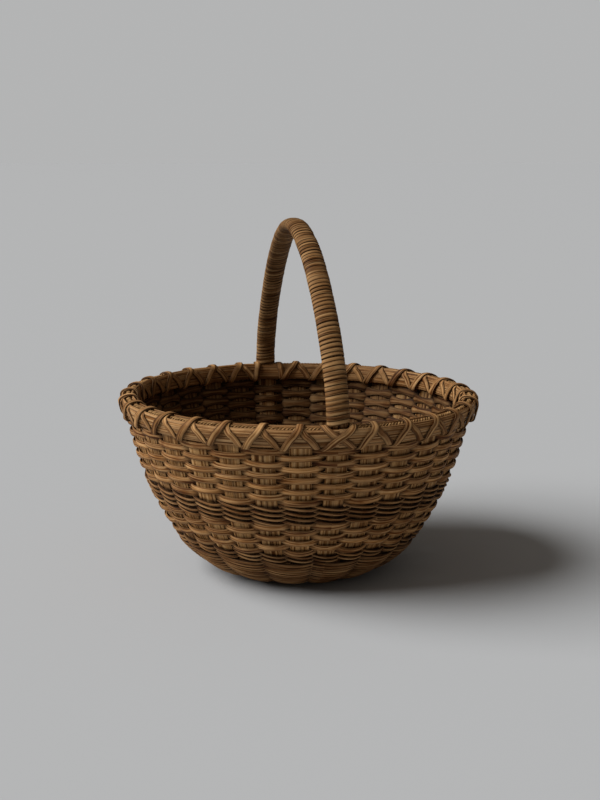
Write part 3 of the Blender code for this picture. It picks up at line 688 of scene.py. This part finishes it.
def makeLashing(name, node, way, over):
    lift = lashing["lift"] + (lashing["overLift"] if over else 0.0)
    outer, inner = lashing["outerFace"] + lift, lashing["innerFace"] - lift
    top, bottom = lashing["top"] + lift, lashing["bottom"] - lift
    middle = (outer + inner) / 2
    levels = {"top": top, "middle": 0.0, "bottom": bottom}
    corners = [(middle, bottom, 0.0)]
    for inside, level, up, share in lashing["outerTurn"]:
        corners.append((outer - inside, levels[level] + up, share))
    corners.append((middle, top, 1.0))
    for inside, level, up, share in lashing["innerTurn"]:
        corners.append((inner + inside, levels[level] + up, share))
    radius = float(wallAt(rimReach)[0])
    controls = []
    for count in range(bowl["stakes"]):
        stake = count if way > 0 else bowl["stakes"] - count
        past = lashing["legRoom"] / radius if stake % bowl["stakes"] in handleStakes else 0.0
        centre = stake * stakePitch
        before = centre - way * stakePitch / 2
        apex = centre + way * past
        after = centre + way * stakePitch / 2
        drift = rng.normal(0, lashing["drift"]) / radius
        for out, along, share in corners:
            if share <= 1.0:
                angle = before + (apex - before) * share
            else:
                angle = apex + (after - apex) * (share - 1.0)
            controls.append((angle + drift * math.sin(math.pi * share / 2), out, along))
    angle, out, along = smoothThrough(controls, lashing["samples"]).T
    lean, tilt = rimSway(angle)
    point, outward, upward = onWall(rimReach, angle, out + lean)
    point = point + upward * (along + tilt)[:, None]
    # the strip's flat side faces away from the rims' core
    coreOut = np.clip(out, inner + lashing["coreSide"], outer - lashing["coreSide"])
    coreAlong = np.clip(along, bottom + lashing["coreEnd"], top - lashing["coreEnd"])
    away = unit(outward * (out - coreOut)[:, None] + upward * (along - coreAlong)[:, None])
    run = unit(np.gradient(point, axis=0))
    sideways = unit(np.cross(away, run))
    away = np.cross(run, sideways)
    turnTones = np.repeat(rng.uniform(*lashing["tones"], bowl["stakes"]), len(corners) * lashing["samples"])
    tone = np.resize(turnTones, len(point))
    # the strip's edges get painted shade where it presses on the rims and its neighbours
    reed = rollReed(point, sideways, away, lashing["width"] / 2, lashing["thick"] / 2,
                    ovalOutline(*lashing["outline"]), False, tone, edgeShade=lashing["edgeShade"])
    bindReeds(name, [reed], lashFinish, "lashing_cane", node)


makeLashing("underLashing", "lashing_first", -1, False)
makeLashing("overLashing", "lashing_second", 1, True)
print("lashing made")

# handle: a bent hoop whose tails slide down inside two stakes, close-wrapped with split cane above the rim
handle = {
    "width": 15.0 * mm, "thick": 5.0 * mm, "outline": (16, 0.45, 1.0), "tone": 0.4,
    "tailThick": 2.2 * mm, "tailAt": -2.1 * mm, "tailDown": 50.0 * mm, "tailUp": 7.0 * mm,
    "shoulder": 6.0 * mm, "legReach": 57.0 * mm, "crownReach": 57.0 * mm, "crownDrop": 1.5 * mm,
    "tailSamples": 24, "hoopSamples": 120, "archSamples": 400, "slopeStep": 0.8 * mm,
    "swayAt": (0.0, 0.2, 0.35, 0.5, 0.62, 0.8, 1.0),
    "sway": np.array((0.5, -0.3, -1.2, -3.4, -3.2, -2.2, -1.8)) * mm,
}
wrap = {
    "pitch": 3.6 * mm, "width": 3.8 * mm, "thick": 1.0 * mm, "outline": (10, 0.7, 0.8), "perLoop": 22,
    "square": 0.95, "halfSide": 8.5 * mm, "halfOut": 5.0 * mm, "slant": 0.9 * mm,
    "uneven": 0.22 * mm, "swell": 0.10 * mm, "widths": (0.80, 1.12),
    "tone": 0.60, "toneUneven": 0.15, "toneLeast": 0.1, "gripDark": 0.24, "gripSpan": 0.26, "edgeShade": 1.0,
}
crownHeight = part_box("handle_hoop")[1].z - handle["thick"] / 2 - handle["crownDrop"]


def archLine():
    # one smooth bend from the rim to the crown, and its mirror image
    radius, height, alongR, alongZ = (float(value) for value in wallAt(rimReach))
    start = np.array([radius, height])
    start = start + np.array([alongR, alongZ]) * handle["shoulder"]
    start = start + np.array([alongZ, -alongR]) * handle["tailAt"]
    corners = (
        start,
        start + (0.0, handle["legReach"]),
        np.array([handle["crownReach"], crownHeight]),
        np.array([0.0, crownHeight]),
    )
    t = np.linspace(0, 1, handle["archSamples"])[:, None]
    weights = ((1 - t) ** 3, 3 * t * (1 - t) ** 2, 3 * t**2 * (1 - t), t**3)
    half = sum(weight * corner for weight, corner in zip(weights, corners))
    return np.concatenate([half, half[-2::-1] * (-1.0, 1.0)])


arch = archLine()
archRun = runAlong(arch)
archLength = float(archRun[-1])


def archSpot(run):
    return np.stack([np.interp(run, archRun, arch[:, 0]), np.interp(run, archRun, arch[:, 1])], -1)


def onArch(run):
    # points of the arch with the direction away from its inside
    spot = archSpot(run)
    along = unit(archSpot(run + handle["slopeStep"]) - archSpot(run - handle["slopeStep"]))
    point = np.stack([spot[:, 0], 0 * run, spot[:, 1]], -1)
    away = np.stack([along[:, 1], 0 * run, -along[:, 0]], -1)
    return point, away


def archSway(run):
    # the bent hoop isn't quite flat: its crown leans to one side
    return np.interp(run / archLength, handle["swayAt"], handle["sway"])


def makeHandle():
    reach = np.linspace(rimReach - handle["tailDown"], rimReach + handle["tailUp"], handle["tailSamples"])
    tail, tailOut, _ = onWall(reach, np.zeros_like(reach), handle["tailAt"])
    run = np.linspace(0, archLength, handle["hoopSamples"])
    top, topOut = onArch(run)
    mirror = np.array([-1.0, 1.0, 1.0])
    points = np.concatenate([tail, top, tail[::-1] * mirror])
    away = np.concatenate([tailOut, topOut, tailOut[::-1] * mirror])
    tailThick = np.full(len(tail), handle["tailThick"])
    thick = np.concatenate([tailThick, np.full(len(top), handle["thick"]), tailThick])
    points[:, 1] += archSway(np.concatenate([0 * reach, run, archLength + 0 * reach]))
    sideways = np.tile([0.0, 1.0, 0.0], (len(points), 1))
    reed = rollReed(points, sideways, away, handle["width"] / 2, thick / 2, ovalOutline(*handle["outline"]),
                    False, handle["tone"])
    bindReeds("handleHoop", [reed], handleFinish, "handle_wood", "handle_hoop")


def makeWrap():
    loops = int(archLength / wrap["pitch"])
    turn = np.arange(loops * wrap["perLoop"] + 1) / wrap["perLoop"]
    spin = -2 * math.pi * turn
    knots = np.arange(loops + 2)
    run = wrap["width"] / 2 + turn * (archLength - wrap["width"]) / loops
    run = run + np.interp(turn, knots, rng.normal(0, wrap["uneven"], len(knots)))
    swell = np.interp(turn, knots, rng.normal(0, wrap["swell"], len(knots)))
    side = signedPower(np.cos(spin), wrap["square"]) * (wrap["halfSide"] + swell)
    out = signedPower(np.sin(spin), wrap["square"]) * (wrap["halfOut"] + swell)
    # a strip climbs across the outer face and falls back across the inner one
    run = np.clip(run + wrap["slant"] * np.sin(spin) * np.cos(spin), 0, archLength)
    middle, away = onArch(run)
    point = middle + away * out[:, None]
    point[:, 1] += side + archSway(run)
    normal = away * (out / wrap["halfOut"] ** 2)[:, None]
    normal[:, 1] += side / wrap["halfSide"] ** 2
    ahead = unit(np.gradient(point, axis=0))
    normal = unit(normal - ahead * np.sum(normal * ahead, axis=1)[:, None])
    sideways = np.cross(normal, ahead)
    tone = rng.normal(wrap["tone"], wrap["toneUneven"], len(knots))
    tone = np.clip(tone, wrap["toneLeast"], 1.0)[turn.astype(int)]
    # hands have darkened the grip
    fromCrown = (run / archLength - 0.5) / wrap["gripSpan"]
    tone = tone - wrap["gripDark"] * np.exp(-(fromCrown**2))
    halfWidth = wrap["width"] / 2 * np.interp(turn, knots, rng.uniform(*wrap["widths"], len(knots)))
    # the strips' edges get painted shade in the gaps between them
    reed = rollReed(point, sideways, normal, halfWidth, wrap["thick"] / 2, ovalOutline(*wrap["outline"]),
                    False, tone, edgeShade=wrap["edgeShade"])
    bindReeds("handleWrapping", [reed], wrapFinish, "wrap_cane", "handle_wrap")


makeHandle()
makeWrap()
print("handle made")

# stage: pale floor, soft light and a camera at the photograph's angle
stage = {
    "floorSide": 60.0, "floorColour": (0.455, 0.470, 0.490), "floorRough": 0.95, "floorGloss": 0.1,
    "backColour": (0.454, 0.457, 0.458), "backStrength": 1.0,
    "skyColour": (1.0, 0.90, 0.79), "skyStrength": 0.145,
    "sunStrength": 4.2, "sunAngle": 47.0, "sunColour": (1.0, 0.99, 0.97),
    "sunSide": -1.0, "sunFront": 0.14, "sunUp": 0.86, "sunAway": 2.0,
    "cameraAzimuth": 78.0, "cameraSide": 1.7 * mm, "cameraAway": 1.0586, "cameraUp": 0.3544,
    "cameraPitch": 11.27, "lens": 56.78, "sensor": 36.0,
}
azimuth = math.radians(stage["cameraAzimuth"])
towards = np.array([math.sin(azimuth), -math.cos(azimuth), 0.0])
rightwards = np.array([math.cos(azimuth), math.sin(azimuth), 0.0])
upwards = np.array([0.0, 0.0, 1.0])

bpy.ops.object.select_all(action="DESELECT")
bpy.ops.mesh.primitive_plane_add(size=stage["floorSide"])
floor = bpy.context.object
floor.name = "floor"
floorFinish = bpy.data.materials.new("floorFinish")
floorFinish.use_nodes = True
floorShader = floorFinish.node_tree.nodes["Principled BSDF"]
floorShader.inputs["Base Color"].default_value = (*stage["floorColour"], 1.0)
floorShader.inputs["Roughness"].default_value = stage["floorRough"]
floorShader.inputs["Specular IOR Level"].default_value = stage["floorGloss"]
floor.data.materials.append(floorFinish)

# the camera sees a plain backdrop, while the light comes from the sky's colour
world = bpy.data.worlds.new("studio")
bpy.context.scene.world = world
world.use_nodes = True
sky = world.node_tree
skyLight = sky.nodes["Background"]
skyLight.inputs["Color"].default_value = (*stage["skyColour"], 1.0)
skyLight.inputs["Strength"].default_value = stage["skyStrength"]
backdrop = addNode(sky, "ShaderNodeBackground")
backdrop.inputs["Color"].default_value = (*stage["backColour"], 1.0)
backdrop.inputs["Strength"].default_value = stage["backStrength"]
paths = addNode(sky, "ShaderNodeLightPath")
choose = addNode(sky, "ShaderNodeMixShader")
sky.links.new(paths.outputs["Is Camera Ray"], choose.inputs[0])
sky.links.new(skyLight.outputs[0], choose.inputs[1])
sky.links.new(backdrop.outputs[0], choose.inputs[2])
sky.links.new(choose.outputs[0], sky.nodes["World Output"].inputs["Surface"])

sunFrom = stage["sunSide"] * rightwards + stage["sunFront"] * towards + stage["sunUp"] * upwards
bpy.ops.object.light_add(type="SUN", location=tuple(stage["sunAway"] * sunFrom))
sun = bpy.context.object
sun.data.energy = stage["sunStrength"]
sun.data.angle = math.radians(stage["sunAngle"])
sun.data.color = stage["sunColour"]
sunTilt = math.acos(sunFrom[2] / np.linalg.norm(sunFrom))
sun.rotation_euler = (sunTilt, 0.0, math.atan2(sunFrom[1], sunFrom[0]) + math.pi / 2)

eye = stage["cameraAway"] * towards + stage["cameraSide"] * rightwards + stage["cameraUp"] * upwards
bpy.ops.object.camera_add(location=tuple(eye))
camera = bpy.context.object
camera.rotation_euler = (math.radians(90.0 - stage["cameraPitch"]), 0.0, azimuth)
camera.data.lens = stage["lens"]
camera.data.sensor_width = stage["sensor"]
bpy.context.scene.camera = camera
bpy.context.scene.view_settings.view_transform = "Standard"
print("stage made")
